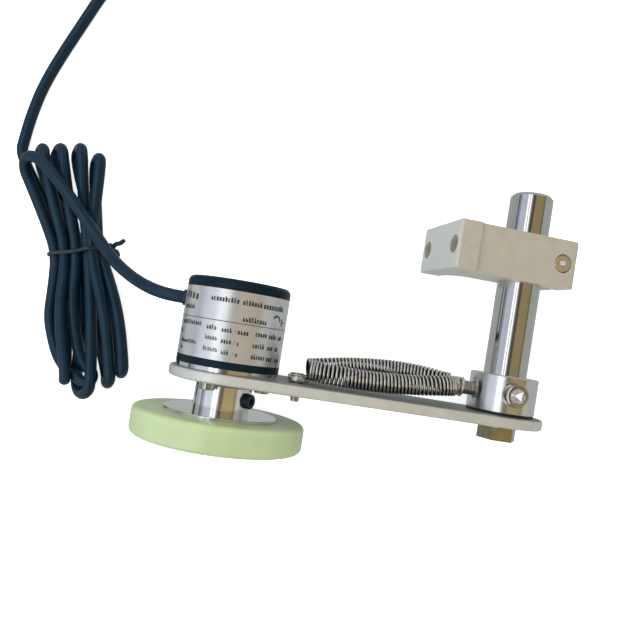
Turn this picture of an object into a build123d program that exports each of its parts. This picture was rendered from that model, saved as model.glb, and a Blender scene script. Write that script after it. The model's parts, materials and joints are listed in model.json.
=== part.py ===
"""Measuring-wheel encoder on a sprung arm, lying on its side at rest, in millimetres.

Row frame: +Z up from the surface it lies on, +Y along the post and the wheel's axis, +X along the arm from the
encoder to the post. The wheel's rim, the arm's round end and one edge of the clamp block touch z = 0.
The origin is under the middle of the unit, without its free cable.
"""
from build123d import *
from math import asin, atan2, cos, degrees, pi, radians, sin, tan
import os

# ---- driving dimensions ---------------------------------------------------------------------------------------
WHEEL_R = 200 / (2 * pi)        # tyre radius: 200 mm round the rim
ARM_LENGTH = 104.0              # encoder axis to post axis
ARM_T = 4.0                     # plate thickness; its top face is height 0 of the arm's own frame
ARM_ROUND = 1.0                 # rounding of the plate's edges
ARM_R_ENCODER = 21.0            # end radius round the encoder
ARM_R_POST = 16.0               # end radius round the post

ENCODER_R = 19.0
BASE_T = 1.5                    # bright flange under the cap
CAP_TOP = 33.0
CAP_WALL = 1.6
CAP_ROUND = 2.0
LABEL_LOW = 4.2
LABEL_HIGH = 29.0
LABEL_T = 0.15
SHAFT_R = 3.0
CABLE_HEIGHT = 24.3             # of the cable's outlet above the plate
GLAND_R = 3.0
GLAND_FACE = 19.9               # outlet face, from the encoder axis

HUB_R = 10.5
HUB_TOP = -5.0
DISC_TOP = -15.1                # top face of the wheel's aluminium core
CORE_R = 21.0
CORE_LOW = -26.0
TYRE_TOP = -16.0
TYRE_LOW = -26.2
TYRE_ROUND = 2.0

POST_R = 8.0
POST_TOP = 83.5
POST_CHAMFER = 1.2
JOURNAL_R = 6.0                 # the post's stepped end, on which the arm turns
BUSH_R = 7.0
COLLAR_R = 12.6
COLLAR_LOW = 0.65
COLLAR_HIGH = 14.5
RUNNING = 0.03                  # radial clearance of every running or sliding fit

BLOCK_TURN = 8.75               # the block is turned this many degrees on the post, away from the arm's line
BLOCK_LOW = 49.7
BLOCK_HIGH = 67.6
FACE = 10.6                     # half depth of the block's body
FLANGE_FACE = 31.5              # mounting face, from the post axis
FLANGE_T = 8.7
FLANGE_FRONT = 12.15            # the flange stands a little proud of the body's front
BLOCK_END = 16.5
EDGE_ROUND = 1.0
HOLE_R = 3.3                    # for M6 mounting screws
HOLE_PITCH = 26.0
HOLE_MIDDLE = 5.5               # middle of the two holes, towards the back of the post axis
BLOCK_SCREW_U = 10.8

SPRING_R = 3.85
WIRE_R = 0.6
STUD_R = 2.5
STUD_HEIGHT = 7.6

CABLE_R = 2.3
HANK_HEIGHT = 20.4

ORIGIN_X = 44.75                # middle of the unit from the encoder axis
ORIGIN_Y = 28.65                # and above the plate's top face

# ---- frames: local X along the arm, local Y towards the back, local Z up the post -------------------------------
TILT = degrees(asin((WHEEL_R - ARM_R_POST) / ARM_LENGTH))
ARM = Plane(
    origin=(-ORIGIN_X, -ORIGIN_Y, WHEEL_R),
    x_dir=(cos(radians(TILT)), 0, -sin(radians(TILT))),
    z_dir=(0, 1, 0),
).location
POST = ARM * Pos(ARM_LENGTH, 0, 0)
BLOCK = POST * Rot(0, 0, BLOCK_TURN)

# The flange is just deep enough for its rounded back edge to reach the surface that the arm's end lies on.
LEAN = radians(TILT + BLOCK_TURN)
EDGE_U = FLANGE_FACE - FLANGE_T
EDGE_LOSS = EDGE_ROUND * (sin(LEAN) + cos(LEAN) - 1)
FLANGE_BACK = (ARM_R_POST + EDGE_U * sin(LEAN) + EDGE_LOSS) / cos(LEAN)

LOW = (Align.CENTER, Align.CENTER, Align.MIN)
nodes = {}


def rod(radius, low, high):
    return Pos(0, 0, low) * Cylinder(radius, high - low, align=LOW)


def ring(outer, inner, low, high):
    return rod(outer, low, high) - rod(inner, low, high)


def outward(angle, distance=0.0, height=0.0):
    """A frame at a height on the axis, whose Z points outward at an angle from the front towards +X."""
    turn = radians(angle)
    out = Vector(sin(turn), -cos(turn), 0)
    return Plane(origin=out * distance + Vector(0, 0, height), x_dir=(0, 0, 1), z_dir=out).location


def round_edges(solid, radius, height):
    """Rounds every edge that lies wholly at one height."""
    flat = [e for e in solid.edges() if abs(e.center().Z - height) < 1e-4 and e.bounding_box().size.Z < 1e-4]
    return fillet(flat, radius)


def cap_screw(shank_r, length, head_r, head_h, socket_af):
    """Socket head screw along Z: its seat is at 0 and its shank runs down."""
    head = fillet(rod(head_r, 0, head_h).edges().sort_by(Axis.Z)[-1], head_r * 0.09)
    socket = Pos(0, 0, head_h * 0.45) * extrude(RegularPolygon(socket_af / 2, 6, major_radius=False), head_h)
    return head + rod(shank_r, -length, 0) - socket


def hexagon(across_flats, low, high, hole_r=0.0):
    prism = Pos(0, 0, low) * extrude(RegularPolygon(across_flats / 2, 6, major_radius=False), high - low)
    return prism - rod(hole_r, low, high) if hole_r else prism


def corner_radii(points):
    """The arc at each corner of a route: 0.45 of its shorter run over the tangent of half the turn."""
    radii = []
    for before, here, after in zip(points, points[1:], points[2:]):
        run_in = Vector(*here) - Vector(*before)
        run_out = Vector(*after) - Vector(*here)
        turn = run_in.get_angle(run_out)
        radii.append(0.45 * min(run_in.length, run_out.length) / tan(radians(turn) / 2))
    return radii


def swept(points, outer, inner=0.0):
    """A round tube along straight runs joined by tangent arcs."""
    path = FilletPolyline(*points, radius=corner_radii(points))
    section = Circle(outer) - Circle(inner) if inner else Circle(outer)
    return sweep(Plane(origin=path @ 0, z_dir=path % 0) * section, path=path), path


def put(name, solid, frame=None):
    nodes[name] = frame * solid if frame else solid


# ---- arm plate, its bush and the encoder's fixing screws ------------------------------------------------------
def arm_plate():
    reach = asin((ARM_R_ENCODER - ARM_R_POST) / ARM_LENGTH)
    low_side = [(r * sin(reach) + x, -r * cos(reach)) for x, r in ((0, ARM_R_ENCODER), (ARM_LENGTH, ARM_R_POST))]
    high_side = [(x, -y) for x, y in reversed(low_side)]
    web = make_face(Polyline(*low_side, *high_side, close=True))
    outline = web + Circle(ARM_R_ENCODER) + Pos(ARM_LENGTH, 0) * Circle(ARM_R_POST)
    plate = Pos(0, 0, -ARM_T) * extrude(outline, ARM_T)
    plate = round_edges(plate, ARM_ROUND, 0)
    plate = round_edges(plate, ARM_ROUND, -ARM_T)
    plate -= rod(PILOT_R, -ARM_T, 0) + Pos(ARM_LENGTH, 0, 0) * rod(BUSH_R, -ARM_T, 0)
    for x, y in screw_places():
        plate -= Pos(x, y, 0) * rod(1.7, -ARM_T, 0)
    for side in (-1, 1):
        plate -= Pos(ANCHOR_X, side * ANCHOR_Y, 0) * rod(1.5, -ARM_T, 0)
    return plate


PILOT_R = 10.0                  # the encoder's spigot in the plate
FIXING_R = 14.0                 # circle of the three M3 screws
FIXING_TURN = -21.0
ANCHOR_X = 26.3                 # screws that hold the springs' ends
ANCHOR_Y = 6.5


def screw_places():
    turns = [radians(FIXING_TURN + 120 * k) for k in range(3)]
    return [(FIXING_R * sin(a), -FIXING_R * cos(a)) for a in turns]


put("arm_plate", arm_plate(), ARM)
put("pivot_bush", ring(BUSH_R, JOURNAL_R + RUNNING, -ARM_T, 0), POST)
fixing = cap_screw(1.5, 8.5, 2.75, 2.7, 2.5)
fixing_screws = [Pos(x, y, -ARM_T) * Rot(180, 0, 0) * fixing for x, y in screw_places()]
put("encoder_screws", Compound(fixing_screws), ARM)

# ---- encoder: still parts ---------------------------------------------------------------------------------------
SEAT_R = CAP_WALL + 0.1         # gap from the outside to the base's inner step
PLATEAU = 6.0
BEARING_R = 6.0
BEARINGS = ((1.5, 5.5), (8.5, 12.5))
BALL_R = 0.9
BALL_CIRCLE = 4.5
BALLS = 8
BOARD_LOW = 18.6
BOARD_T = 1.6
SENSOR_R = 10.6                 # distance of the light source and the reading head from the axis


def encoder_base():
    base = rod(ENCODER_R, 0, BASE_T) + rod(ENCODER_R - SEAT_R, BASE_T, PLATEAU)
    base += rod(9.0, PLATEAU, BEARINGS[1][1]) + rod(PILOT_R, -2.0, 0)
    base -= rod(BEARING_R, BEARINGS[0][0], BEARINGS[1][1]) + rod(4.9, -2.0, BEARINGS[0][0])
    for x, y in screw_places():
        base -= Pos(x, y, 0) * rod(1.5, 0, 5.0)
    return base


def encoder_cap():
    cap = rod(ENCODER_R, BASE_T, CAP_TOP)
    cap = round_edges(cap, CAP_ROUND, CAP_TOP)
    cap -= rod(ENCODER_R - CAP_WALL, BASE_T, CAP_TOP - 2.0)
    cap -= ring(ENCODER_R + 1, ENCODER_R - LABEL_T, LABEL_LOW, LABEL_HIGH)
    return cap - cable_hole()


def cable_hole():
    return outward(-90, 0, CABLE_HEIGHT) * rod(GLAND_R, 10, 25)


def cable_gland():
    return outward(-90, 0, CABLE_HEIGHT) * (rod(GLAND_R, 15.2, GLAND_FACE) + rod(3.7, 14.0, 15.2))


def bearing_ring(inner_r, outer_r, low, high):
    middle = Pos(0, 0, (low + high) / 2)
    return ring(outer_r, inner_r, low, high) - middle * Torus(BALL_CIRCLE, BALL_R + RUNNING)


def bearing_balls(low, high):
    spots = [Rot(0, 0, 360 * k / BALLS) * Pos(BALL_CIRCLE, 0, (low + high) / 2) for k in range(BALLS)]
    return Compound([spot * Sphere(BALL_R) for spot in spots])


put("encoder_base", encoder_base(), ARM)
put("encoder_cap", encoder_cap(), ARM)
put("encoder_label", ring(ENCODER_R, ENCODER_R - LABEL_T, LABEL_LOW, LABEL_HIGH) - cable_hole(), ARM)
put("cable_gland", cable_gland(), ARM)
for place, (low, high) in zip(("lower", "upper"), BEARINGS):
    put(f"{place}_bearing_outer", bearing_ring(5.1, BEARING_R, low, high), ARM)
    put(f"{place}_bearing_inner", bearing_ring(SHAFT_R, 3.9, low, high), ARM)
    put(f"{place}_bearing_balls", bearing_balls(low, high), ARM)
board = ring(16.8, 5.0, BOARD_LOW, BOARD_LOW + BOARD_T)
put("circuit_board", board, ARM)
spacers = [Rot(0, 0, 60 + 120 * k) * Pos(15.2, 0, 0) * rod(1.3, PLATEAU, BOARD_LOW) for k in range(3)]
put("board_spacers", Compound(spacers), ARM)
put("light_source", Pos(SENSOR_R, 0, 0) * rod(1.5, PLATEAU, 15.0), ARM)
HEAD_LOW = 16.9
put("reading_head", Pos(SENSOR_R, 0, (HEAD_LOW + BOARD_LOW) / 2) * Box(4.4, 6, BOARD_LOW - HEAD_LOW), ARM)

# ---- turning parts: encoder shaft, code disc and measuring wheel ------------------------------------------------
DISC_SEAT = 15.6
CORE_SCREW_R = 7.4
HUB_SCREW_TURN = 60.0
HUB_SCREW_SEAT = 9.7
HUB_SCREW_HEIGHT = -9.6
put("encoder_shaft", rod(SHAFT_R, -21.0, 17.0), ARM)
put("bearing_spacer", ring(4.1, SHAFT_R, BEARINGS[0][1], BEARINGS[1][0]), ARM)
put("retaining_ring", ring(4.3, SHAFT_R, BEARINGS[1][1], BEARINGS[1][1] + 0.7), ARM)
put("code_disc_hub", ring(4.6, SHAFT_R, 13.4, DISC_SEAT), ARM)
put("code_disc", ring(13.0, SHAFT_R, DISC_SEAT, DISC_SEAT + 0.5), ARM)


def core_screw_places():
    return [Rot(0, 0, 30 + 120 * k) * Pos(CORE_SCREW_R, 0, 0) for k in range(3)]


def wheel_hub():
    hub = rod(HUB_R, DISC_TOP, HUB_TOP)
    hub = chamfer(hub.edges().sort_by(Axis.Z)[-1], 0.4)
    hub += rod(5.0, -22.0, DISC_TOP)
    hub -= rod(SHAFT_R, -21.0, HUB_TOP)
    hub -= outward(HUB_SCREW_TURN, 0, HUB_SCREW_HEIGHT) * (rod(3.0, HUB_SCREW_SEAT, 14) + rod(1.5, 3.2, 14))
    for place in core_screw_places():
        hub -= place * rod(1.5, DISC_TOP, DISC_TOP + 3.6)
    return hub


def countersunk():
    """M3 countersunk screw in the core's lower face, its point upward."""
    head = Pos(0, 0, CORE_LOW + 0.85) * Cone(3.0, 1.5, 1.7)
    socket = Pos(0, 0, CORE_LOW) * extrude(RegularPolygon(1.0, 6, major_radius=False), 1.2)
    return head + rod(1.5, CORE_LOW + 1.0, DISC_TOP + 3.5) - socket


def wheel_core():
    core = rod(CORE_R, CORE_LOW, DISC_TOP)
    core = round_edges(core, 0.4, DISC_TOP)
    core -= rod(5.0, -22.0, DISC_TOP)
    for place in core_screw_places():
        core -= place * (rod(1.5, CORE_LOW, DISC_TOP) + Pos(0, 0, CORE_LOW + 0.85) * Cone(3.0, 1.5, 1.7))
    return core


def tyre():
    rubber = rod(WHEEL_R, TYRE_LOW, TYRE_TOP)
    rubber = round_edges(rubber, TYRE_ROUND, TYRE_TOP)
    rubber = round_edges(rubber, TYRE_ROUND, TYRE_LOW)
    return rubber - rod(CORE_R, TYRE_LOW, TYRE_TOP)


put("wheel_hub", wheel_hub(), ARM)
put("hub_screw", outward(HUB_SCREW_TURN, HUB_SCREW_SEAT, HUB_SCREW_HEIGHT) * cap_screw(1.5, 6.4, 2.7, 3.0, 2.5), ARM)
put("wheel_core", wheel_core(), ARM)
put("core_screws", Compound([place * countersunk() for place in core_screw_places()]), ARM)
put("tyre", tyre(), ARM)

# ---- springs and their fixings ------------------------------------------------------------------------------------
SPRING_START = 30.0
LOOP_R = 2.15                   # spring end loop round its screw
STUD_LOOP_R = STUD_R + WIRE_R + 0.1
STUD_TIP = -19.6                # from the post axis
FRONT_ROUTE = [(30, -6.5, 5.2), (44, -7.1, 5.3), (58, -6.7, 5.8), (72, -5.6, 6.7), (84, -4.1, 7.6)]
BACK_ROUTE = [(30, 6.5, 5.2), (40, 7.6, 7.2), (53, 8.4, 8.9), (66, 7.8, 9.8), (76, 6.2, 9.3), (84, 4.2, 8.2)]


def spring(route, side, loop_x):
    """A close-wound spring as a tube of its coils' size, with a loop at each end."""
    coils, _ = swept(route, SPRING_R, SPRING_R - 2 * WIRE_R)
    start = Vector(*route[0])
    end = Vector(*route[-1])
    anchor = Vector(ANCHOR_X, side * ANCHOR_Y, WIRE_R + 0.05)
    loop = Pos(*anchor) * Torus(LOOP_R, WIRE_R)
    lead_in = link(anchor + Vector(LOOP_R, 0, 0), start + Vector(0.8, 0, -SPRING_R + WIRE_R))
    stud_loop = Pos(loop_x, 0, STUD_HEIGHT) * Rot(0, 90, 0) * Torus(STUD_LOOP_R, WIRE_R)
    lead_out = link(end + Vector(-0.5, side * (SPRING_R - WIRE_R), 0), Vector(loop_x, side * STUD_LOOP_R, STUD_HEIGHT))
    return coils + loop + lead_in + stud_loop + lead_out


def link(a, b):
    return Plane(origin=a, z_dir=b - a).location * rod(WIRE_R, 0, (b - a).length)


put("front_spring", spring(FRONT_ROUTE, -1, 85.4), ARM)
put("back_spring", spring(BACK_ROUTE, 1, 87.2), ARM)
SCREW_SEAT = 1.5
button = Pos(0, 0, SCREW_SEAT) * cap_screw(1.5, SCREW_SEAT + ARM_T + 2.8, 2.6, 1.2, 1.5)
anchors = [Pos(ANCHOR_X, side * ANCHOR_Y, 0) for side in (-1, 1)]
put("spring_screws", Compound([spot * button for spot in anchors]), ARM)

# ---- post and collar --------------------------------------------------------------------------------------------
SHOULDER = 0.1
WASHER_TOP = -4.15
WASHER_T = 0.8
BOLT_HEAD = 5.0
COLLAR_SCREW_SEAT = 12.2
COLLAR_SCREW_HEIGHT = 8.0


def post_shaft():
    shaft = rod(POST_R, SHOULDER, POST_TOP)
    shaft = chamfer(shaft.edges().sort_by(Axis.Z)[-1], POST_CHAMFER)
    return shaft + rod(JOURNAL_R, WASHER_TOP, SHOULDER) - rod(4.0, WASHER_TOP, 12.0)


def collar():
    body = ring(COLLAR_R, POST_R + RUNNING, COLLAR_LOW, COLLAR_HIGH)
    outer = [e for e in body.edges().filter_by(GeomType.CIRCLE) if abs(e.radius - COLLAR_R) < 1e-4]
    body = chamfer(outer, 0.4)
    body -= outward(0, 0, COLLAR_SCREW_HEIGHT) * (rod(4.6, COLLAR_SCREW_SEAT, 14) + rod(2.5, POST_R, 14))
    return body - outward(-90, 0, STUD_HEIGHT) * rod(STUD_R, POST_R, 14)


put("post_shaft", post_shaft(), POST)
put("pivot_washer", ring(8.5, 4.0, WASHER_TOP - WASHER_T, WASHER_TOP), POST)
bolt_top = WASHER_TOP - WASHER_T
put("pivot_bolt", Rot(0, 0, 2) * hexagon(13.0, bolt_top - BOLT_HEAD, bolt_top) + rod(4.0, bolt_top, 12.0), POST)
put("collar", collar(), POST)
put("thrust_washer", ring(12.4, POST_R + 0.1, 0.05, COLLAR_LOW), POST)
collar_screw = cap_screw(2.5, COLLAR_SCREW_SEAT - POST_R - 0.05, 4.25, 5.0, 4.0)
put("collar_screw", outward(0, COLLAR_SCREW_SEAT, COLLAR_SCREW_HEIGHT) * collar_screw, POST)
put("spring_stud", outward(-90, 0, STUD_HEIGHT) * rod(STUD_R, POST_R + 0.1, -STUD_TIP), POST)

# ---- clamp block ------------------------------------------------------------------------------------------------
SLIT = 1.5
FILLET_BACK = 8.0
BLOCK_MIDDLE = (BLOCK_LOW + BLOCK_HIGH) / 2
EAR_END = 14.0                  # the back ear is a little shorter than the front one


def clamp_block():
    """Seen along the post: a mounting flange on the left, and a body split towards its right end."""
    height = BLOCK_HIGH - BLOCK_LOW
    corners = [
        (-FLANGE_FACE, -FLANGE_FRONT, EDGE_ROUND),
        (-EDGE_U, -FLANGE_FRONT, EDGE_ROUND),
        (-EDGE_U, -FACE, 0.4),
        (BLOCK_END, -FACE, 1.5),
        (BLOCK_END, FACE, EDGE_ROUND),
        (-EDGE_U, FACE, FILLET_BACK),
        (-EDGE_U, FLANGE_BACK, EDGE_ROUND),
        (-FLANGE_FACE, FLANGE_BACK, EDGE_ROUND),
    ]
    plan = make_face(Polyline(*[(x, y) for x, y, _ in corners], close=True))
    for x, y, radius in corners:
        plan = fillet(plan.vertices().sort_by_distance((x, y, 0))[0], radius)
    block = Pos(0, 0, BLOCK_LOW) * extrude(plan, height)
    block = round_edges(block, 0.6, BLOCK_LOW)
    block = round_edges(block, 0.6, BLOCK_HIGH)
    block -= rod(POST_R + RUNNING, BLOCK_LOW, BLOCK_HIGH)
    tall = (Align.MIN, Align.CENTER, Align.MIN)
    block -= Pos(4, 0, BLOCK_LOW) * Box(20, SLIT, height, align=tall)
    block -= Pos(EAR_END, 0, BLOCK_LOW) * Box(10, 40, height, align=(Align.MIN, Align.MIN, Align.MIN))
    for step in (-0.5, 0.5):
        spot = Pos(0, HOLE_MIDDLE + step * HOLE_PITCH, BLOCK_MIDDLE)
        block -= spot * Rot(0, 90, 0) * rod(HOLE_R, -FLANGE_FACE, -EDGE_U)
    screw = Pos(BLOCK_SCREW_U, 0, BLOCK_MIDDLE) * Rot(90, 0, 0)
    return block - screw * (rod(3.5, FACE - 3.4, FACE + 1) + rod(1.5, -FACE, FACE))




put("clamp_block", clamp_block(), BLOCK)
block_screw = Pos(0, 0, FACE - 3.4) * cap_screw(1.5, 14.0, 3.1, 3.0, 2.5)
put("block_screw", Pos(BLOCK_SCREW_U, 0, BLOCK_MIDDLE) * Rot(90, 0, 0) * block_screw, BLOCK)

# ---- cable: from the gland to a tied hank, then a free end in one turn with its leads bare -----------------------
gland_mouth = (ARM * Pos(-GLAND_FACE, 0, CABLE_HEIGHT)).position
gland_exit = (ARM * Pos(-GLAND_FACE - 6.0, 0, CABLE_HEIGHT)).position
LEAD_ROUTE = [
    tuple(gland_mouth),
    tuple(gland_exit),
    (-77.9, -3.0, 34.2),
    (-85.4, -0.7, 29.9),
    (-92.4, 2.2, 25.0),
    (-98.9, 5.6, 20.9),
    (-104.9, 10.2, 18.0),
]
HANK_OUTLINE = [
    (-159, 48), (-147, 54.5), (-120, 55), (-113, 48), (-112, 17), (-101, 6), (-91, -37),
    (-98, -48), (-109, -54.5), (-121, -50), (-135, -22), (-135, 6), (-159, 38),
]
FREE_ROUTE = [
    (-155.8, 45.5, 3.4),
    (-155.7, 53.5, 2.6),
    (-154.4, 64.0, 2.4),
    (-151.4, 77.0, 2.4),
    (-145.4, 91.6, 2.4),
    (-139.1, 104.8, 2.4),
    (-133.0, 117.8, 2.4),
    (-127.8, 127.6, 2.4),
]
COIL_R = 25.0                   # middle of the turn where it starts; it closes in by COIL_STEP
COIL_STEP = 5.5
COIL_RUN = 16.0                 # straight run from the free end into the coil


def hank():
    outline = Polyline(*[(x, y) for x, y in HANK_OUTLINE], close=True)
    face = make_face(outline)
    face = fillet(face.vertices(), 1.0)
    block = extrude(face, HANK_HEIGHT)
    top = [e for e in block.edges() if abs(e.center().Z - HANK_HEIGHT) < 1e-4]
    return chamfer(top, 0.5)


def coil():
    """The flat outer shape of the coil, with the straight run that leads into it."""
    wide = 2 * CABLE_R + 0.4
    way = Vector(*FREE_ROUTE[-1]) - Vector(*FREE_ROUTE[-2])
    heading = degrees(atan2(way.Y, way.X))
    start = Pos(FREE_ROUTE[-1][0], FREE_ROUTE[-1][1], 0) * Rot(0, 0, heading)
    height = 2 * CABLE_R + 0.2
    run = start * Box(COIL_RUN, wide, height, align=(Align.MIN, Align.CENTER, Align.MIN))
    outer = COIL_R + wide / 2
    inner = COIL_R - COIL_STEP - wide / 2
    return run + start * Pos(COIL_RUN, COIL_R, 0) * ring(outer, inner, 0, height)


lead, lead_path = swept(LEAD_ROUTE, CABLE_R)
free, free_path = swept(FREE_ROUTE, CABLE_R)
bundle = hank()
put("cable_lead", lead - bundle)
put("cable_hank", bundle)
put("cable_free_end", free - bundle)
put("cable_coil", coil())

for name, path, route in (("cable_lead", lead_path, LEAD_ROUTE), ("cable_free_end", free_path, FREE_ROUTE)):
    area = pi * CABLE_R ** 2
    print(name, "radii", [round(r, 1) for r in corner_radii(route)], "length", round(path.length, 1),
          "volume over section x length", round(nodes[name].volume / (area * path.length), 4))

os.makedirs("parts", exist_ok=True)
for name, solid in nodes.items():
    export_step(solid, f"parts/{name}.step")
print(len(nodes), "nodes; arm tilt", round(TILT, 3), "flange back", round(FLANGE_BACK, 3))
print("gland mouth", [round(c, 2) for c in gland_mouth])
unit = Compound([s for n, s in nodes.items() if not n.startswith("cable_") or n == "cable_gland"]).bounding_box()
print("unit box", unit.min, unit.max)
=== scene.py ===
"""Looks for the measuring-wheel encoder on a sprung arm. Lengths in the lists below are in millimetres."""
import json
import random
from math import atan2, ceil, cos, degrees, pi, radians, sin

import bpy
from mathutils import Matrix, Vector


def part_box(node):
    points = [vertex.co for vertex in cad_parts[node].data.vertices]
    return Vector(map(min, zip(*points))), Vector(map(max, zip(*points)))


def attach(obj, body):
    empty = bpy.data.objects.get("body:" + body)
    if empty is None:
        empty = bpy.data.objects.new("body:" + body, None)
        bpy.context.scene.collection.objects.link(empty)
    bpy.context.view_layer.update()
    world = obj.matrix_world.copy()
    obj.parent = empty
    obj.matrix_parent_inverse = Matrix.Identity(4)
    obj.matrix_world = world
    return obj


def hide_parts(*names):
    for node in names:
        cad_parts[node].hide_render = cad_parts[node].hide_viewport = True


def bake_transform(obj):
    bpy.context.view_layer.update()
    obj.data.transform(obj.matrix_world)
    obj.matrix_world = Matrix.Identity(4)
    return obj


MM = 0.001
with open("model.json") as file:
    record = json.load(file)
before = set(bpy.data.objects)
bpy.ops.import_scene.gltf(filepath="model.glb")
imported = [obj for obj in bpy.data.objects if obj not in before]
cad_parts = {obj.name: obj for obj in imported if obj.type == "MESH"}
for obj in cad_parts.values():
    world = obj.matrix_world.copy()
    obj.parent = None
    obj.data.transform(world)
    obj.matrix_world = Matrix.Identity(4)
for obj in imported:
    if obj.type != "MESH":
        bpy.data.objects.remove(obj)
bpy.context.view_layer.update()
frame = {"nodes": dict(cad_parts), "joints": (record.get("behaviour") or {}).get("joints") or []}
nodes = frame["nodes"]
scene = bpy.context.scene
random.seed(7)

# ---- the arm's own frame, read back from the joints ----------------------------------------------
joints = {joint["name"]: joint for joint in frame["joints"]}
WHEEL_AXIS = Vector(joints["wheel_spin"]["pos_m"])
POST_AXIS = Vector(joints["arm_swing"]["pos_m"])
PLATE_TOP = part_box("arm_plate")[1].y
ALONG = Vector((POST_AXIS.x - WHEEL_AXIS.x, 0, POST_AXIS.z - WHEEL_AXIS.z)).normalized()
BACK = Vector((ALONG.z, 0, -ALONG.x))
ARM_LENGTH = 104.0


def arm(x, back, up):
    """A point given from the encoder's axis: along the arm, towards the back, above the plate."""
    foot = Vector((WHEEL_AXIS.x, PLATE_TOP, WHEEL_AXIS.z))
    return foot + (ALONG * x + BACK * back + Vector((0, up, 0))) * MM


# ---- camera --------------------------------------------------------------------------------------
def add_camera():
    data = bpy.data.cameras.new("camera")
    data.lens = 37.94
    data.sensor_width = 36.0
    data.clip_start = 0.01
    camera = bpy.data.objects.new("camera", data)
    scene.collection.objects.link(camera)
    right = Vector((0.98282, 0.15842, -0.09473))
    up = Vector((-0.1558, 0.98719, 0.03449))
    back = Vector((0.09898, -0.01914, 0.99491))
    turn = Matrix((right, up, back)).transposed().to_4x4()
    camera.matrix_world = Matrix.Translation(Vector((10.88, -9.37, 278.0)) * MM) @ turn
    scene.camera = camera


add_camera()

# ---- materials -----------------------------------------------------------------------------------
made = {}


def shader(name, **values):
    """A material with its Principled shader's own sockets set, and the tools to build on it."""
    material = bpy.data.materials.new(name)
    material.use_nodes = True
    tree = material.node_tree
    principled = tree.nodes["Principled BSDF"]
    for label, value in values.items():
        socket = principled.inputs[label.replace("_", " ")]
        socket.default_value = (*value, 1.0) if socket.type == "RGBA" else value
    made[name] = material
    return material, tree, principled


def object_coordinates(tree):
    return tree.nodes.new("ShaderNodeTexCoord").outputs["Object"]


def noise(tree, vector, scale, detail=3.0):
    node = tree.nodes.new("ShaderNodeTexNoise")
    node.inputs["Scale"].default_value = scale
    node.inputs["Detail"].default_value = detail
    tree.links.new(vector, node.inputs["Vector"])
    return node.outputs["Fac"]


def ramp(tree, value, stops):
    node = tree.nodes.new("ShaderNodeValToRGB")
    elements = node.color_ramp.elements
    while len(elements) < len(stops):
        elements.new(0.5)
    for element, (position, colour) in zip(elements, stops):
        element.position = position
        element.color = (*colour, 1.0)
    tree.links.new(value, node.inputs["Fac"])
    return node.outputs["Color"]


def span(tree, value, low, high):
    node = tree.nodes.new("ShaderNodeMapRange")
    node.inputs["From Min"].default_value = 0.3
    node.inputs["From Max"].default_value = 0.7
    node.inputs["To Min"].default_value = low
    node.inputs["To Max"].default_value = high
    tree.links.new(value, node.inputs["Value"])
    return node.outputs["Result"]


def bump(tree, principled, height, strength, distance):
    node = tree.nodes.new("ShaderNodeBump")
    node.inputs["Strength"].default_value = strength
    node.inputs["Distance"].default_value = distance * MM
    tree.links.new(height, node.inputs["Height"])
    previous = principled.inputs["Normal"].links
    if previous:
        tree.links.new(previous[0].from_socket, node.inputs["Normal"])
    tree.links.new(node.outputs["Normal"], principled.inputs["Normal"])


def surface(name, colour, other, roughness, patch, grain, depth, **values):
    """Mottled colour and roughness over a fine grain: most of the unit's materials."""
    material, tree, principled = shader(name, **values)
    vector = object_coordinates(tree)
    mottle = noise(tree, vector, patch)
    fine = noise(tree, vector, grain, 2.0)
    tree.links.new(ramp(tree, mottle, [(0.35, colour), (0.65, other)]), principled.inputs["Base Color"])
    tree.links.new(span(tree, mottle, roughness[0], roughness[1]), principled.inputs["Roughness"])
    bump(tree, principled, fine, 0.5, depth)
    return material


def paint_light_by_facing(name, axis, start, full, strength, painted_colour):
    """Painted light and shade: another colour on the faces that look along an axis, standing in for the light
    or shade that falls on them.
    """
    tree = made[name].node_tree
    principled = tree.nodes["Principled BSDF"]
    facing = tree.nodes.new("ShaderNodeNewGeometry")
    split = tree.nodes.new("ShaderNodeSeparateXYZ")
    tree.links.new(facing.outputs["Normal"], split.inputs[0])
    amount = tree.nodes.new("ShaderNodeMapRange")
    amount.inputs["From Min"].default_value = start
    amount.inputs["From Max"].default_value = full
    amount.inputs["To Max"].default_value = strength
    tree.links.new(split.outputs[axis], amount.inputs["Value"])
    mix = tree.nodes.new("ShaderNodeMix")
    mix.data_type = "RGBA"
    kept, painted_input = [socket for socket in mix.inputs if socket.type == "RGBA"]
    painted_input.default_value = (*painted_colour, 1.0)
    tree.links.new(amount.outputs["Result"], mix.inputs[0])
    tree.links.new(principled.inputs["Base Color"].links[0].from_socket, kept)
    blended = [socket for socket in mix.outputs if socket.type == "RGBA"][0]
    tree.links.new(blended, principled.inputs["Base Color"])


def radial(tree, axis_point):
    """Distance from a line parallel to Y, in metres: for lathe marks."""
    coordinates = tree.nodes.new("ShaderNodeTexCoord")
    offset = tree.nodes.new("ShaderNodeVectorMath")
    offset.operation = "SUBTRACT"
    offset.inputs[1].default_value = axis_point
    tree.links.new(coordinates.outputs["Object"], offset.inputs[0])
    flat = tree.nodes.new("ShaderNodeVectorMath")
    flat.operation = "MULTIPLY"
    flat.inputs[1].default_value = (1, 0, 1)
    tree.links.new(offset.outputs["Vector"], flat.inputs[0])
    length = tree.nodes.new("ShaderNodeVectorMath")
    length.operation = "LENGTH"
    tree.links.new(flat.outputs["Vector"], length.inputs[0])
    height = tree.nodes.new("ShaderNodeSeparateXYZ")
    tree.links.new(coordinates.outputs["Object"], height.inputs[0])
    join = tree.nodes.new("ShaderNodeCombineXYZ")
    tree.links.new(length.outputs["Value"], join.inputs["X"])
    tree.links.new(height.outputs["Y"], join.inputs["Y"])
    return join.outputs["Vector"]


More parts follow.
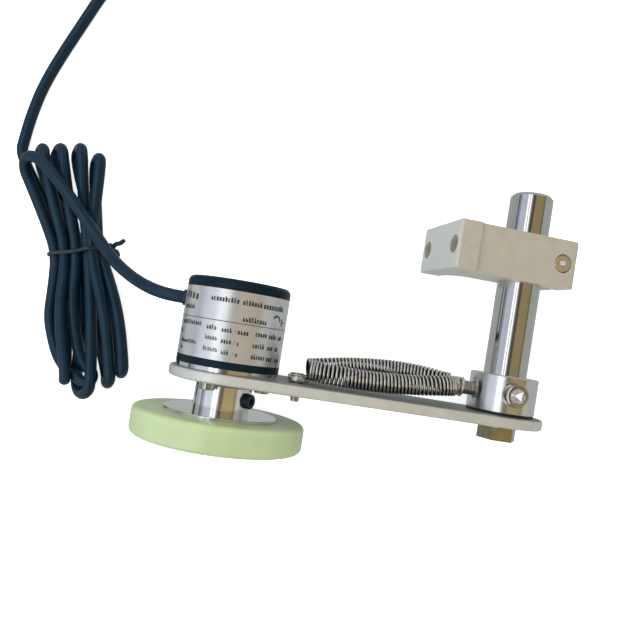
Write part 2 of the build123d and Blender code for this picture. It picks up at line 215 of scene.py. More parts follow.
def turned(name, colour, other, roughness, axis_point, marks=4000.0, depth=0.004, **values):
    """Turned metal: fine rings round its own axis."""
    material, tree, principled = shader(name, Metallic=1.0, **values)
    rings = noise(tree, radial(tree, axis_point), marks, 2.0)
    mottle = noise(tree, object_coordinates(tree), 180.0)
    tree.links.new(ramp(tree, mottle, [(0.35, colour), (0.65, other)]), principled.inputs["Base Color"])
    tree.links.new(span(tree, rings, roughness[0], roughness[1]), principled.inputs["Roughness"])
    bump(tree, principled, rings, 0.4, depth)
    return material


surface("arm_blasted", (0.62, 0.62, 0.585), (0.55, 0.55, 0.52), (0.42, 0.52), 160.0, 5200.0, 0.03,
        Metallic=0.7)
# painted shade: the plate's faces looking along +Y, its top, are darkened towards near black, standing in for
# shadow and dark reflections there
paint_light_by_facing("arm_blasted", "Y", 0.55, 0.95, 0.62, (0.05, 0.05, 0.052))
surface("block_blasted", (0.50, 0.462, 0.385), (0.455, 0.42, 0.35), (0.45, 0.56), 160.0, 4200.0, 0.05,
        Metallic=0.5)
# painted light: the block's faces looking along -X get a cooler light grey and those looking along -Y a
# lighter warm grey, standing in for the cool left lamp and light from below
paint_light_by_facing("block_blasted", "X", -0.5, -0.9, 1.0, (0.60, 0.62, 0.595))
paint_light_by_facing("block_blasted", "Y", -0.5, -0.9, 1.0, (0.72, 0.69, 0.63))
turned("wheel_turned", (0.80, 0.80, 0.79), (0.74, 0.74, 0.73), (0.10, 0.17), WHEEL_AXIS)
turned("post_ground", (0.66, 0.66, 0.66), (0.62, 0.62, 0.62), (0.06, 0.10), POST_AXIS, 5000.0, 0.001)
turned("collar_turned", (0.80, 0.80, 0.79), (0.76, 0.76, 0.75), (0.19, 0.26), POST_AXIS, 5000.0, 0.002)
turned("washer_turned", (0.5, 0.5, 0.48), (0.42, 0.42, 0.40), (0.2, 0.32), POST_AXIS, 5000.0, 0.003)
surface("screw_steel", (0.50, 0.49, 0.47), (0.42, 0.41, 0.39), (0.12, 0.22), 600.0, 9000.0, 0.004,
        Metallic=1.0)
surface("screw_socket", (0.95, 0.93, 0.92), (0.88, 0.86, 0.85), (0.2, 0.28), 600.0, 9000.0, 0.003,
        Metallic=1.0)
surface("screw_polished", (0.52, 0.47, 0.42), (0.44, 0.40, 0.36), (0.12, 0.2), 600.0, 9000.0, 0.003,
        Metallic=1.0)
surface("bolt_steel", (0.50, 0.48, 0.37), (0.42, 0.40, 0.30), (0.2, 0.3), 350.0, 5000.0, 0.008,
        Metallic=1.0)
surface("ring_steel", (0.40, 0.39, 0.37), (0.30, 0.29, 0.28), (0.16, 0.26), 900.0, 9000.0, 0.004,
        Metallic=1.0)
surface("black_oxide", (0.004, 0.009, 0.014), (0.008, 0.014, 0.020), (0.3, 0.42), 900.0, 8000.0, 0.01,
        Specular_IOR_Level=0.35, Specular_Tint=(0.7, 0.88, 1.0))
surface("bearing_bronze", (0.42, 0.27, 0.12), (0.34, 0.21, 0.09), (0.3, 0.42), 500.0, 6000.0, 0.01,
        Metallic=1.0)
surface("spacer_brass", (0.60, 0.45, 0.20), (0.52, 0.38, 0.16), (0.22, 0.3), 500.0, 6000.0, 0.004,
        Metallic=1.0)
surface("cap_black", (0.003, 0.009, 0.015), (0.005, 0.012, 0.019), (0.28, 0.36), 220.0, 3800.0, 0.012,
        Specular_IOR_Level=0.13, Specular_Tint=(0.7, 0.88, 1.0))
surface("washer_black", (0.008, 0.008, 0.008), (0.014, 0.014, 0.014), (0.4, 0.5), 400.0, 4000.0, 0.01)
surface("jacket_black", (0.0022, 0.0105, 0.022), (0.0032, 0.0135, 0.027), (0.33, 0.42), 140.0, 2600.0, 0.02,
        Specular_IOR_Level=0.4, Specular_Tint=(0.6, 0.84, 1.0))
surface("tie_black", (0.006, 0.014, 0.022), (0.010, 0.020, 0.030), (0.35, 0.5), 500.0, 5000.0, 0.02)
surface("board_mask", (0.01, 0.12, 0.04), (0.008, 0.09, 0.03), (0.2, 0.3), 900.0, 5000.0, 0.004)
surface("print_ink", (0.012, 0.015, 0.016), (0.03, 0.034, 0.034), (0.4, 0.5), 1500.0, 6000.0, 0.002)
surface("disc_clear", (0.7, 0.74, 0.76), (0.66, 0.70, 0.73), (0.03, 0.06), 300.0, 5000.0, 0.001,
        Transmission_Weight=0.8, IOR=1.5)
surface("label_foil", (0.66, 0.665, 0.67), (0.61, 0.615, 0.62), (0.26, 0.34), 120.0, 5200.0, 0.006,
        Metallic=0.8)
surface("tyre_polyurethane", (0.40, 0.475, 0.265), (0.365, 0.44, 0.24), (0.28, 0.38), 90.0, 1800.0, 0.02,
        Subsurface_Weight=0.5, Subsurface_Radius=(0.9, 1.0, 0.55), Subsurface_Scale=0.006, Coat_Weight=0.1)
surface("copper_strand", (0.72, 0.34, 0.16), (0.62, 0.28, 0.12), (0.2, 0.3), 900.0, 9000.0, 0.004,
        Metallic=1.0)


def spring_material():
    """Drawn wire with painted shade where the coils face each other and a painted highlight on their outside.
    """
    material, tree, principled = shader("spring_steel", Metallic=1.0)
    crest = tree.nodes.new("ShaderNodeAttribute")
    crest.attribute_name = "crest"
    patchy = span(tree, noise(tree, object_coordinates(tree), 700.0), 0.85, 1.1)
    level = tree.nodes.new("ShaderNodeMath")
    level.operation = "MULTIPLY"
    tree.links.new(crest.outputs["Fac"], level.inputs[0])
    tree.links.new(patchy, level.inputs[1])
    # painted shade and highlight: near black where the wire faces the spring's axis, light grey where it
    # faces out
    stops = [(0.40, (0.012, 0.012, 0.013)), (0.66, (0.20, 0.19, 0.18)), (0.92, (0.86, 0.84, 0.82))]
    tree.links.new(ramp(tree, level.outputs["Value"], stops), principled.inputs["Base Color"])
    rubbed = span(tree, noise(tree, object_coordinates(tree), 900.0), 0.24, 0.36)
    tree.links.new(rubbed, principled.inputs["Roughness"])


spring_material()
LEAD_COLOURS = {
    "red": (0.45, 0.02, 0.02), "black": (0.012, 0.012, 0.013), "green": (0.02, 0.25, 0.06),
    "white": (0.75, 0.75, 0.73), "yellow": (0.7, 0.5, 0.03),
}
for colour_name, shade in LEAD_COLOURS.items():
    darker = tuple(channel * 0.8 for channel in shade)
    surface(f"lead_{colour_name}", shade, darker, (0.35, 0.45), 600.0, 6000.0, 0.004)

FINISH = {
    "arm_plate": "arm_blasted", "clamp_block": "block_blasted", "post_shaft": "post_ground",
    "collar": "collar_turned", "collar_screw": "screw_steel", "spring_stud": "screw_steel",
    "spring_screws": "screw_steel",
    "pivot_bolt": "bolt_steel", "pivot_washer": "washer_turned", "thrust_washer": "washer_black",
    "pivot_bush": "bearing_bronze", "block_screw": "screw_socket", "encoder_screws": "screw_steel",
    "hub_screw": "black_oxide", "encoder_base": "wheel_turned", "encoder_cap": "cap_black",
    "encoder_label": "label_foil", "cable_gland": "washer_black", "circuit_board": "board_mask",
    "board_spacers": "spacer_brass", "light_source": "disc_clear", "reading_head": "cap_black",
    "code_disc": "disc_clear", "code_disc_hub": "wheel_turned", "bearing_spacer": "wheel_turned",
    "retaining_ring": "ring_steel", "encoder_shaft": "screw_steel", "wheel_hub": "wheel_turned",
    "wheel_core": "wheel_turned", "core_screws": "screw_steel", "tyre": "tyre_polyurethane",
}
for name, node in nodes.items():
    finish = FINISH.get(name, "screw_steel")
    node.data.materials.clear()
    node.data.materials.append(made[finish])

# ---- tubes and small helpers ---------------------------------------------------------------------


DOME = [(0.55, 0.80), (0.88, 0.42)]     # how far out, and how wide, the rings of a tube's rounded end are


def add_mesh(name, vertices, faces, material, smooth=True):
    mesh = bpy.data.meshes.new(name)
    mesh.from_pydata(vertices, [], faces)
    mesh.materials.append(made[material])
    mesh.polygons.foreach_set("use_smooth", [smooth] * len(mesh.polygons))
    mesh.update()
    piece = bpy.data.objects.new(name, mesh)
    scene.collection.objects.link(piece)
    return piece


def tube_parts(path, radius, sides=10, start=0):
    """Vertices and faces of a round tube along a path, with rounded ends."""
    vertices, faces = [], []
    direction = (path[1] - path[0]).normalized()
    side = direction.orthogonal().normalized()
    rings = []
    for index, point in enumerate(path):
        before, after = path[max(index - 1, 0)], path[min(index + 1, len(path) - 1)]
        direction = (after - before).normalized()
        side = (side - direction * side.dot(direction)).normalized()
        rings.append((point, direction, side, radius))
    first, last = rings[0], rings[-1]
    head = [(first[0] - first[1] * radius * d, first[1], first[2], radius * r) for d, r in reversed(DOME)]
    tail = [(last[0] + last[1] * radius * d, last[1], last[2], radius * r) for d, r in DOME]
    rings = head + rings + tail
    for point, direction, side, size in rings:
        up = direction.cross(side)
        for k in range(sides):
            angle = 2 * pi * k / sides
            vertices.append(point + (side * cos(angle) + up * sin(angle)) * size)
    for ring in range(len(rings) - 1):
        a, b = start + ring * sides, start + (ring + 1) * sides
        for k in range(sides):
            n = (k + 1) % sides
            faces.append((a + k, a + n, b + n, b + k))
    faces.append(tuple(start + k for k in reversed(range(sides))))
    faces.append(tuple(start + (len(rings) - 1) * sides + k for k in range(sides)))
    return vertices, faces


def add_tubes(name, paths, radius, material, sides=10):
    vertices, faces = [], []
    for path in paths:
        more, cells = tube_parts(path, radius, sides, len(vertices))
        vertices += more
        faces += cells
    return add_mesh(name, vertices, faces, material)


def smooth_path(points, count):
    """Points along a smooth curve through the given ones (Catmull-Rom)."""
    path = []
    for step in range(count):
        place = step / (count - 1) * (len(points) - 1)
        i = min(int(place), len(points) - 2)
        t = place - i
        a, b, c, d = (points[max(i - 1, 0)], points[i], points[i + 1], points[min(i + 2, len(points) - 1)])
        square = 2 * a - 5 * b + 4 * c - d
        cube = 3 * b - a - 3 * c + d
        path.append(0.5 * (2 * b + (c - a) * t + square * t * t + cube * t ** 3))
    return path


# ---- cable: one cord from the gland, over and through its tied hank, and away to a small coil ----
CABLE_R = 2.38
LEAD_ROUTE = [
    (-64.42, -4.35, 34.86), (-70.35, -4.35, 35.77), (-77.9, -3.0, 34.2), (-85.4, -0.7, 29.9),
    (-92.4, 2.2, 25.0), (-98.9, 5.6, 20.9), (-104.9, 10.2, 18.2),
]
CROSSING = [
    (-111.8, 17.0, 17.3), (-117.8, 23.5, 17.5), (-125.8, 31.5, 17.7), (-133.9, 38.7, 17.6),
    (-139.6, 42.7, 16.8), (-144.8, 44.0, 14.8), (-148.4, 42.3, 11.9), (-148.9, 38.4, 9.7),
    (-146.4, 34.0, 8.7),
]
FREE_ROUTE = [
    (-155.8, 45.5, 3.4), (-155.7, 53.5, 2.6), (-154.4, 64.0, 2.4), (-151.4, 77.0, 2.4), (-145.4, 91.6, 2.4),
    (-139.1, 104.8, 2.4), (-133.0, 117.8, 2.4), (-127.8, 127.6, 2.4),
]
WAIST = Vector((-121.6, 8.0, 0.0))          # middle of the hank where the tie holds it
ACROSS = Vector((0.973, 0.232, 0.0))        # along the tie
# The first fold is tucked under the others at the hank's foot, so it is given point by point.
TUCK = [
    (-129.9, -9.0, 6.0), (-130.2, -20.5, 5.2), (-127.4, -29.5, 4.4), (-123.6, -36.2, 5.4),
    (-119.0, -40.4, 7.0), (-113.6, -43.0, 7.3), (-109.6, -46.0, 7.2), (-106.2, -44.6, 7.2),
    (-106.2, -40.6, 7.2), (-110.4, -38.4, 7.2), (-114.2, -33.0, 7.2),
]
# The other folds: x where the run comes in and where the next leaves, y of the tip, and their two heights.
FOLDS = [
    (-131.9, -140.7, 52.4, 12.6, 2.4), (-115.2, -104.0, -52.5, 2.4, 12.0), (-123.8, -131.4, 53.6, 12.6, 2.4),
    (-91.6, -96.6, -41.2, 12.6, 2.4), (-122.4, -115.3, 50.5, 2.4, 12.6), (-96.3, -102.2, -46.3, 12.6, 2.4),
    (-148.0, -140.1, 51.3, 2.4, 12.6), (-115.3, -120.1, -47.9, 12.6, 2.4),
]
# Each run: its place along the tie and its height there, then its height and its bow to the right half-way up
# to the top fold and half-way down to the bottom fold.
RUNS = [
    (-9.3, 6.4, 7.4, 0.0, 5.6, 0.0), (0.0, 6.4, 11.2, 0.0, 6.8, -2.8), (-2.3, 2.4, 2.4, -1.0, 2.4, 2.8),
    (4.65, 6.4, 11.0, 0.0, 10.0, 1.0), (9.3, 6.4, 6.6, 0.5, 9.5, 3.0), (7.0, 2.4, 2.4, 0.0, 2.4, 1.5),
    (7.0, 10.4, 11.5, 0.0, 12.0, 2.2), (2.3, 2.4, 7.0, -1.5, 2.4, -1.8), (-4.65, 6.4, 11.0, 0.0, 10.5, -3.0),
    (-7.0, 2.4, 2.4, 3.5, 2.4, 0.0),
]
HANK_START = (-142.6, 29.5)
HANK_EXIT = (-154.0, 38.0)


def fold_points(x_in, x_out, tip, z_in, z_out):
    """Four points round the outside of a half circle."""
    out = -1 if tip < 0 else 1
    half = Vector(((x_out - x_in) / 2, 0, (z_out - z_in) / 2))
    radius = half.length
    middle = Vector(((x_in + x_out) / 2, tip - out * (CABLE_R + radius), (z_in + z_out) / 2))
    corners = [radians(22.5 + 45 * k) for k in range(4)]
    ahead = Vector((0, out * radius, 0))
    return [middle + (-half * cos(a) + ahead * sin(a)) / cos(radians(22.5)) for a in corners]


def hank_points():
    """The runs go down and up between the folds, pressed together at the waist."""
    turns = [[Vector(p) for p in TUCK]] + [fold_points(*fold) for fold in FOLDS]
    points = []
    for index, (across, height, high, high_bow, low, low_bow) in enumerate(RUNS):
        start = turns[index - 1][-1] if index else Vector((*HANK_START, 7.9))
        end = turns[index][0] if index < len(turns) else Vector((*HANK_EXIT, 2.4))
        waist = WAIST + ACROSS * across + Vector((0, 0, height))
        first, second = ((high, high_bow), (low, low_bow))[:: 1 if index % 2 == 0 else -1]
        for other, (level, bow) in ((start, first), (waist, (height, 0.0)), (end, second)):
            spot = waist.lerp(other, 0.5)
            points.append(Vector((spot.x + bow, spot.y, level)))
        if index == 0:
            points.pop()            # the tucked fold's own points begin there
        if index < len(turns):
            points += turns[index]
    return points


COIL_R = 25.0                   # of the middle of the coil's outer turn
COIL_IN = 4.4                   # how far the coil closes in over one turn
COIL_RUN = 16.0                 # straight length before it
COIL_TURNS = 1.74


def coil_points():
    """A flat coil that closes in by about one cable's width a turn."""
    here, before = Vector(FREE_ROUTE[-1]), Vector(FREE_ROUTE[-2])
    way = (here - before).normalized()
    inward = Vector((-way.y, way.x, 0))
    centre = here + way * COIL_RUN + inward * COIL_R
    first = atan2(-inward.y, -inward.x)
    count = ceil(COIL_TURNS * 16)
    points = []
    for k in range(count + 1):
        turn = COIL_TURNS * k / count
        radius = (COIL_R - COIL_IN * turn * min(1.0, turn + 0.3)) / cos(pi / 16)
        angle = first + 2 * pi * turn
        points.append(centre + Vector((cos(angle), sin(angle), 0)) * radius)
    return points, centre


def add_cable():
    coil, centre = coil_points()
    lead = [Vector(p) for p in LEAD_ROUTE + CROSSING]
    route = lead + hank_points() + [Vector(p) for p in FREE_ROUTE] + coil
    curve = bpy.data.curves.new("cable", "CURVE")
    curve.dimensions = "3D"
    curve.bevel_depth = CABLE_R * MM
    curve.bevel_resolution = 5
    curve.resolution_u = 8
    curve.use_fill_caps = True
    spline = curve.splines.new("NURBS")
    spline.points.add(len(route) - 1)
    for point, place in zip(spline.points, route):
        point.co = (*(place * MM), 1.0)
    spline.order_u = 3
    spline.use_endpoint_u = True
    curve.materials.append(made["jacket_black"])
    cable = bpy.data.objects.new("cable", curve)
    scene.collection.objects.link(cable)
    return cable, route, centre


CABLE_REST = 2.4                # height of the cable's middle where it lies on the table
CORE_R = 0.6
STRAND_R = 0.32


def bare_leads(end, way, centre):
    """The cut end: five thin coloured leads with bare tips, lying in the coil's middle."""
    pieces = []
    side = Vector((-way.y, way.x, 0))
    if (centre - end).dot(side) < 0:
        side = -side
    for k, colour_name in enumerate(LEAD_COLOURS):
        spread = (k - 2) * 0.9
        lift = 0.75 if k % 2 else 1.9
        rise = lift - CABLE_REST + 1.0
        path = [end - way * 1.5 + side * spread * 0.6 + Vector((0, 0, rise))]
        for step in range(1, 9):
            t = step / 8
            reach = way * 13.0 * t + side * (spread * (0.6 + 1.6 * t) + 5.0 * t * t)
            height = rise * (1 - t) + (0.65 - CABLE_REST) * t
            path.append(end + reach + Vector((0, 0, height)))
        insulation = f"lead_{colour_name}"
        pieces.append(add_tubes(insulation, [[p * MM for p in path]], CORE_R * MM, insulation))
        tip = (path[-1] - path[-2]).normalized()
        strands = [[(path[-1] + tip * d) * MM for d in (0.0, 1.5, 3.0)]]
        pieces.append(add_tubes(f"lead_tip_{colour_name}", strands, STRAND_R * MM, "copper_strand", 8))
    for piece in pieces:
        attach(piece, "arm")
    return pieces


cable, route, coil_centre = add_cable()
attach(cable, "arm")
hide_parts("cable_lead", "cable_hank", "cable_free_end", "cable_coil")
leads = bare_leads(route[-1], (route[-1] - route[-2]).normalized(), coil_centre)


# ---- wire tie round the hank's waist -------------------------------------------------------------
def add_tie():
    """A plastic-coated wire tie: a loop that follows the bundle, and its two ends twisted together."""
    loop = [
        (12.4, 7.4), (11.0, 10.6), (7.5, 13.6), (4.2, 12.0), (0.0, 9.6), (-5.0, 9.5), (-9.6, 9.6),
        (-12.3, 7.2), (-12.0, 4.2), (-9.8, 1.6), (-5.0, 1.05), (0.0, 1.05), (5.0, 1.05), (9.6, 1.4),
        (12.2, 3.8), (12.4, 7.4),
    ]
    around = [(WAIST + ACROSS * u + Vector((0, 0, z))) * MM for u, z in loop]
    paths = [smooth_path(around, 90)]
    root = Vector((-109.4, 12.0, 8.0))
    tips = (Vector((-101.8, 15.4, 9.0)), Vector((-103.6, 9.0, 7.5)))
    for phase, tip in zip((0, pi), tips):
        twist = []
        for k in range(31):
            t = k / 30
            middle = root.lerp((tips[0] + tips[1]) / 2, t).lerp(root.lerp(tip, t), max(0.0, t - 0.35) / 0.65)
            angle = phase + t * 1.6 * 2 * pi
            spread = 0.75 * (1 - t) + 0.2
            twist.append((middle + Vector((0, cos(angle), sin(angle))) * spread) * MM)
        paths.append(twist)
    tie = add_tubes("wire_tie", paths, 0.95 * MM, "tie_black", 10)
    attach(tie, "arm")


add_tie()

# ---- springs: real coils between the arm's screws and the collar's stud --------------------------
SPRING_R = 3.85                 # outside of the coils
WIRE_R = 0.6
WIRE_SIDES = 10
COILS = 41
FRONT_ROUTE = [(30, -6.5, 5.2), (43.5, -7.1, 4.6), (57, -6.7, 4.8), (70.5, -5.6, 5.9), (84, -4.1, 7.6)]
BACK_ROUTE = [
    (30, 6.5, 5.2), (41, 7.6, 7.2), (52, 8.3, 8.7), (63, 8.0, 9.5), (73.5, 6.5, 9.3), (84, 4.2, 8.2),
]
SPRINGS = (("front_spring", FRONT_ROUTE, -1, 84.9), ("back_spring", BACK_ROUTE, 1, 87.1))
ANCHOR_X = 26.3                 # the arm's two spring screws
ANCHOR_Y = 6.5
HOOK_R = 3.0                    # the wire's turns round the arm's screws
HOOK_STEPS = 34
LOOP_R = 3.15                   # and round the stud
STUD_UP = 7.6


def spring_wire(route, side, loop_x):
    """One wire: a hook round the arm's screw, close coils along a bent line, and a hook round the stud."""
    axis = smooth_path([Vector(p) for p in route], 160)
    steps = COILS * 18
    coils, centres = [], []
    for k in range(steps + 1):
        t = k / steps
        place = t * (len(axis) - 1)
        i = min(int(place), len(axis) - 2)
        centre = axis[i].lerp(axis[i + 1], place - i)
        along = (axis[i + 1] - axis[i]).normalized()
        up = (Vector((0, 0, 1)) - along * along.z).normalized()
        out = along.cross(up)
        angle = 2 * pi * COILS * t + pi
        coils.append(centre + (up * cos(angle) + out * sin(angle)) * (SPRING_R - WIRE_R))
        centres.append(centre)
    anchor = Vector((ANCHOR_X, side * ANCHOR_Y, WIRE_R + 0.1))
    hook = [anchor + Vector((cos(a), sin(a), 0)) * HOOK_R + Vector((0, 0, 0.035 * k))
            for k, a in enumerate(radians(60 + 20 * step) for step in range(HOOK_STEPS))]
    hook += [anchor + Vector((3.4, -1.6, 0.2)), coils[0] + Vector((-1.0, -0.9, 0.0))]
    stud_hook = []
    for k in range(26):
        a = radians(100 - side * 20 * k)
        drift = 0.055 * k
        stud_hook.append(Vector((loop_x + drift, cos(a) * LOOP_R, STUD_UP + sin(a) * LOOP_R)))
    bridge = [coils[-1].lerp(stud_hook[0], 0.5) + Vector((0, 0, 0.3))]
    start = smooth_path(hook, 60)
    end = smooth_path([coils[-1]] + bridge + stud_hook[:2], 10)[1:-4] + stud_hook
    wire = [arm(*p) for p in start + coils + end]
    middles = [None] * len(start) + [arm(*p) for p in centres] + [None] * len(end)
    return wire, middles


def mark_crest(wire, path, middles, sides):
    """Stores how far each point of the wire faces away from the spring's axis: 1 outside, 0 within."""
    values = []
    rings = len(wire.data.vertices) // sides
    for ring in range(rings):
        index = min(max(ring - len(DOME), 0), len(path) - 1)
        for k in range(sides):
            if middles[index] is None:
                values.append(1.0)
                continue
            out = (path[index] - middles[index]).normalized()
            offset = wire.data.vertices[ring * sides + k].co - path[index]
            values.append(max(0.0, offset.normalized().dot(out)))
    layer = wire.data.attributes.new("crest", "FLOAT", "POINT")
    layer.data.foreach_set("value", values)


def add_springs():
    for name, route, side, loop_x in SPRINGS:
        path, middles = spring_wire(route, side, loop_x)
        wire = add_tubes(f"{name}_wire", [path], WIRE_R * MM, "spring_steel", WIRE_SIDES)
        mark_crest(wire, path, middles, WIRE_SIDES)
        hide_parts(name)
        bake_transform(wire)


add_springs()

# ---- printing on the label: rows of small generic marks, a dividing line and a ring --------------
LABEL_R = 19.0
PRINT_T = 0.05
LETTER = 0.74                   # letter height over line height, and letter pitch over letter height
LETTER_WIDE = 0.72              # of the pitch
BAR = 0.62                      # thickness of the flat strokes over that of the upright ones


def label_patch(vertices, faces, azimuths, heights):
    """A thin raised patch on the label between two azimuths (degrees from the front) and two heights."""
    count = max(2, ceil(abs(azimuths[1] - azimuths[0]) / 3) + 1)
    base = len(vertices)
    for k in range(count):
        a = radians(azimuths[0] + (azimuths[1] - azimuths[0]) * k / (count - 1))
        for radius in (LABEL_R - 0.02, LABEL_R + PRINT_T):
            for height in heights:
                vertices.append(arm(sin(a) * radius, -cos(a) * radius, height))
    for k in range(count - 1):
        a, b = base + 4 * k, base + 4 * (k + 1)
        faces += [(a + 2, b + 2, b + 3, a + 3), (a + 3, b + 3, b + 1, a + 1), (a, b, b + 2, a + 2)]
    last = base + 4 * (count - 1)
    faces += [(base, base + 2, base + 3, base + 1), (last, last + 1, last + 3, last + 2)]


def add_word(vertices, faces, start, end, height, size, weight):
    """Small upright and flat strokes side by side, which read as a word from afar and spell nothing."""
    size *= LETTER
    pitch = size * LETTER
    step = degrees(pitch / LABEL_R)
    azimuth = start
    while azimuth + step * 0.7 <= end:
        low, high = height - size / 2, height + size / 2
        right = azimuth + step * LETTER_WIDE
        thin = step * (weight + 0.06)
        kind = random.randrange(4)
        ascender = size * 0.38 * (random.random() < 0.3)
        label_patch(vertices, faces, (azimuth, azimuth + thin), (low, high + ascender))
        if kind != 3:
            top = high - size * 0.35 * (kind == 2)
            label_patch(vertices, faces, (right - thin, right), (low, top))
        for level in {0: (0.5,), 1: (0.0, 1.0), 2: (0.0, 0.62), 3: (0.0, 0.5, 1.0)}[kind]:
            y = low + (size - size * weight * BAR) * level
            label_patch(vertices, faces, (azimuth + thin * 0.5, right), (y, y + size * weight * BAR))
        azimuth += step


def add_print():
    vertices, faces = [], []
    words = [
        (-25, 7, 25.3, 1.9, 0.3), (9.5, 31.5, 25.2, 1.9, 0.3), (33, 66, 25.1, 2.1, 0.42),
        (12, 42, 19.5, 1.9, 0.3), (-68, -46, 21.3, 1.7, 0.34),
        (-67, -31, 15.9, 1.8, 0.28), (-69, -64, 12.4, 1.6, 0.3),
        (-63, -34, 9.1, 1.4, 0.28), (-62, -57, 6.6, 1.4, 0.3),
        (-25, -14, 15.2, 1.8, 0.26), (-8, 4, 14.9, 1.7, 0.32), (9, 21, 14.8, 1.8, 0.28),
        (-25, -9, 11.6, 1.7, 0.24), (-7, 4, 11.0, 1.7, 0.34), (9.8, 13.5, 10.8, 1.7, 0.3),
        (-25.5, -7, 7.7, 1.7, 0.2), (-5, 3.5, 7.2, 1.6, 0.28), (9.8, 13.5, 7.0, 1.7, 0.28),
        (28.5, 43.5, 15.0, 1.8, 0.3), (46, 58.5, 14.8, 1.9, 0.44), (62.5, 72, 14.6, 1.7, 0.34),
        (27, 43, 10.9, 1.8, 0.3), (46, 56, 10.7, 1.9, 0.44), (60, 65.5, 10.5, 1.7, 0.34),
        (27, 44, 7.0, 1.8, 0.3), (47, 57.5, 6.8, 1.9, 0.44), (62, 74, 6.6, 1.7, 0.34),
    ]
    for word in words:
        add_word(vertices, faces, *word)
    for colon, height in ((6.4, 14.8), (6.8, 11.0), (6.6, 7.1), (60, 14.8), (58, 10.6), (59.5, 6.7)):
        for lift in (-0.5, 0.35):
            label_patch(vertices, faces, (colon, colon + 0.8), (height + lift, height + lift + 0.3))
    label_patch(vertices, faces, (-79, 79), (17.86, 18.1))
    for k in range(4):
        label_patch(vertices, faces, (-66 + 6.5 * k, -62.4 + 6.5 * k), (24.6 - 0.2 * k, 27.0 - 0.3 * k))
    for start in range(0, 360, 15):
        if 60 <= start < 285:
            continue
        angle = radians(start + 90)
        x, y = 54 + degrees(2.1 / LABEL_R) * cos(angle), 20.4 + 2.1 * sin(angle)
        label_patch(vertices, faces, (x - 0.9, x + 0.9), (y - 0.35, y + 0.35))
    label_patch(vertices, faces, (64, 66), (19.0, 21.8))
    label_patch(vertices, faces, (64, 70), (20.2, 20.7))
    printing = add_mesh("label_print", vertices, faces, "print_ink", smooth=False)
    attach(printing, "arm")


add_print()


# ---- collar screw: a crowned head with a broached hexagon ----------------------------------------
POST_X = ARM_LENGTH
SCREW_SEAT = 12.2               # distances from the post's axis
SCREW_UP = 8.0
SHANK_END = 8.1
SHANK_R = 2.5
HEAD_R = 4.25
HEAD_SIDE = 4.0                 # height of the head's straight side, below its crown
HEXAGON = 5.0                   # across flats
HEX_SIDES = 6


def add_collar_screw():
    """Rings of points from the shank's end round the head's crown and down into the hexagon."""
    tip = SHANK_END - SCREW_SEAT
    rings = [(0.0, tip, 0), (SHANK_R, tip, 0), (SHANK_R, 0.0, 0), (HEAD_R - 0.3, 0.0, 0), (HEAD_R, 0.3, 0)]
    corner = [radians(15 * k) for k in range(6, -1, -1)]
    crown = [(HEAD_R * (0.62 + 0.38 * sin(a)), HEAD_SIDE + cos(a)) for a in corner]
    rings += [(radius, rise, 0) for radius, rise in crown]
    rings += [(1.08, 4.86, 1), (1.0, 4.7, 1), (1.0, 2.6, 1), (0.55, 1.9, 1), (0.0, 1.2, 1)]
    sides = 60
    vertices, faces = [], []
    for size, rise, is_hexagon in rings:
        for k in range(sides):
            angle = 2 * pi * k / sides
            radius = size
            if is_hexagon:
                radius *= HEXAGON / 2 / cos((angle + pi / HEX_SIDES) % (2 * pi / HEX_SIDES) - pi / HEX_SIDES)
            radius = max(radius, 0.002)
            x, up = radius * cos(angle), radius * sin(angle)
            vertices.append(arm(POST_X + x, -(SCREW_SEAT + rise), SCREW_UP + up))
    for ring in range(len(rings) - 1):
        for k in range(sides):
            n = (k + 1) % sides
            a, b = ring * sides, (ring + 1) * sides
            faces.append((a + k, a + n, b + n, b + k))
    screw = add_mesh("collar_screw_head", vertices, faces, "screw_polished")
    screw.data.materials.append(made["screw_socket"])
    first_inside = len(faces) - 4 * sides
    for polygon in screw.data.polygons[first_inside:]:
        polygon.material_index = 1
    screw.data.set_sharp_from_angle(angle=radians(35))
    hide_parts("collar_screw")
    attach(screw, "collar")


add_collar_screw()

# ---- threads that the solids don't carry ---------------------------------------------------------
TURN_STEPS = 20                 # points in one turn of a thread


def helix(place, radius, pitch, length):
    """Points of a screw thread; place turns (x, y, along) into the row frame."""
    count = int(length / pitch * TURN_STEPS)
    turns = [k / TURN_STEPS for k in range(count)]
    return [place(radius * cos(turn * 2 * pi), radius * sin(turn * 2 * pi), pitch * turn) for turn in turns]


def add_threads():
    """Threads on the spring screws' ends under the plate and on the stud."""
    paths = []
    for side in (-1, 1):
        paths.append(helix(lambda x, y, z: arm(ANCHOR_X + x, side * ANCHOR_Y + y, -4.1 - z), 1.42, 0.5, 2.3))
    ends = add_tubes("spring_screw_threads", paths, 0.17 * MM, "screw_steel", 6)
    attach(ends, "arm")
    stud = helix(lambda x, y, z: arm(84.6 + z, x, STUD_UP + y), 2.42, 0.8, 6.4)
    ridge = add_tubes("stud_thread", [stud], 0.24 * MM, "screw_steel", 6)
    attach(ridge, "collar")


add_threads()


# ---- floor and light -----------------------------------------------------------------------------
def emission(name, colour, strength):
    material = bpy.data.materials.new(name)
    material.use_nodes = True
    tree = material.node_tree
    tree.nodes.clear()
    glow = tree.nodes.new("ShaderNodeEmission")
    glow.inputs["Color"].default_value = (*colour, 1.0)
    glow.inputs["Strength"].default_value = strength
    output = tree.nodes.new("ShaderNodeOutputMaterial")
    tree.links.new(glow.outputs["Emission"], output.inputs["Surface"])
    made[name] = material


def plane(name, size, height, material):
    corners = [Vector((x * size, y * size, height)) for x, y in ((-1, -1), (1, -1), (1, 1), (-1, 1))]
    return add_mesh(name, corners, [(0, 1, 2, 3)], material, smooth=False)


def seen_only_by(piece, *rays):
    for ray in ("camera", "diffuse", "glossy", "shadow", "transmission", "volume_scatter"):
        setattr(piece, f"visible_{ray}", ray in rays)


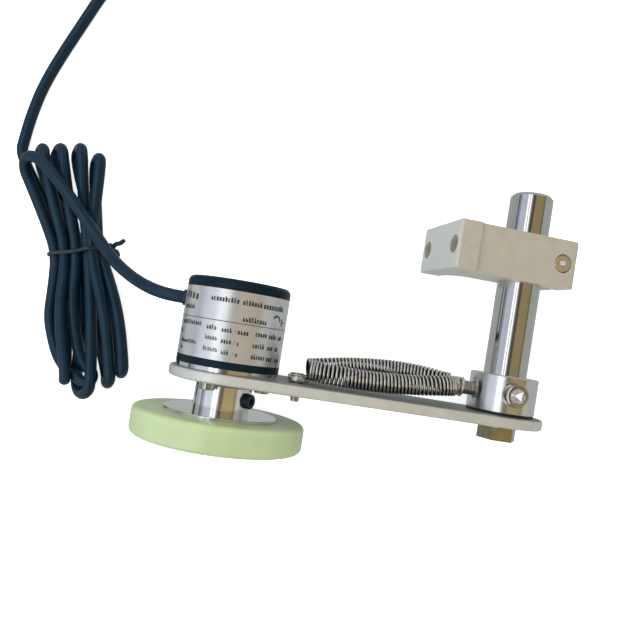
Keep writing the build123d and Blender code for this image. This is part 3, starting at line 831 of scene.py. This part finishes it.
def add_floor():
    """A white table: bright to the eye, grey in the polished parts' reflections, as under a studio tent."""
    shader("table_white", Base_Color=(0.93, 0.94, 0.93), Roughness=0.8, Specular_IOR_Level=0.0,
           Emission_Color=(1.0, 1.0, 1.0), Emission_Strength=0.62)
    seen_only_by(plane("table", 3.0, -0.0001, "table_white"), "camera", "shadow", "transmission")
    shader("bounce_white", Base_Color=(0.80, 0.81, 0.80), Roughness=0.9, Specular_IOR_Level=0.0)
    seen_only_by(plane("table_bounce", 3.0, -0.0003, "bounce_white"), "diffuse")
    emission("table_grey", (0.44, 0.47, 0.46), 1.0)
    seen_only_by(plane("table_reflection", 3.0, -0.0006, "table_grey"), "glossy")


def add_cards():
    """A tunnel of large cards along Y: light, dark and warm bands that only reflections see."""
    bands = [
        (-90, -80, (0.46, 0.50, 0.49), 1.0), (-80, -72, (0.12, 0.14, 0.19), 1.0),
        (-72, -61, (0.34, 0.37, 0.41), 1.0), (-61, -26, (0.64, 0.69, 0.78), 1.0),
        (-26, -20, (1.0, 1.0, 1.0), 2.2), (-20, -13, (0.85, 0.87, 0.95), 1.0),
        (-13, -8, (1.0, 1.0, 1.0), 2.0), (-8, -2, (0.42, 0.42, 0.45), 1.0),
        (-2, 13, (0.12, 0.105, 0.09), 1.0), (13, 58, (0.36, 0.285, 0.15), 1.0),
        (58, 68, (0.22, 0.19, 0.11), 1.0), (68, 90, (0.46, 0.46, 0.40), 1.0),
    ]
    radius = 1.6
    split = -0.19                   # below this height the cards are nearer their lamps, and brighter
    for index, (low, high, colour, strength) in enumerate(bands):
        for part, bottom, top, gain in (("upper", split, 2.5, 1.0), ("lower", -2.5, split, 1.4)):
            name = f"card_{index}_{part}"
            emission(name, colour, strength * (gain if strength == 1.0 else 1.0))
            vertices = []
            for angle in (low, high):
                x, z = radius * sin(radians(angle)), radius * cos(radians(angle))
                vertices += [Vector((x, bottom, z)), Vector((x, top, z))]
            seen_only_by(add_mesh(name, vertices, [(0, 1, 3, 2)], name, smooth=False), "glossy")


def add_light(name, place, target, size, power, colour):
    data = bpy.data.lights.new(name, "AREA")
    data.shape = "RECTANGLE"
    data.size, data.size_y = size
    data.energy = power
    data.color = colour
    light = bpy.data.objects.new(name, data)
    scene.collection.objects.link(light)
    light.location = place
    aim = Vector(target) - Vector(place)
    light.rotation_euler = aim.to_track_quat("-Z", "Y").to_euler()
    light.visible_glossy = False
    light.visible_camera = False


def add_world():
    world = bpy.data.worlds.new("studio")
    world.use_nodes = True
    background = world.node_tree.nodes["Background"]
    background.inputs["Color"].default_value = (0.95, 0.96, 1.0, 1.0)
    background.inputs["Strength"].default_value = 0.5
    scene.world = world


add_floor()
add_cards()
add_world()
add_light("top", (0.0, 0.0, 1.1), (0, 0, 0), (1.6, 1.6), 11.0, (1.0, 1.0, 1.0))
add_light("left", (-0.9, -0.2, 0.6), (0, 0, 0), (1.0, 1.2), 7.4, (0.88, 0.95, 1.0))
add_light("back", (-0.1, 0.9, 0.4), (0, 0, 0), (1.0, 0.8), 3.5, (1.0, 1.0, 1.0))
add_light("right", (0.9, -0.1, 0.55), (0, 0, 0), (0.9, 1.2), 3.0, (1.0, 0.94, 0.82))
scene.view_settings.view_transform = "Standard"
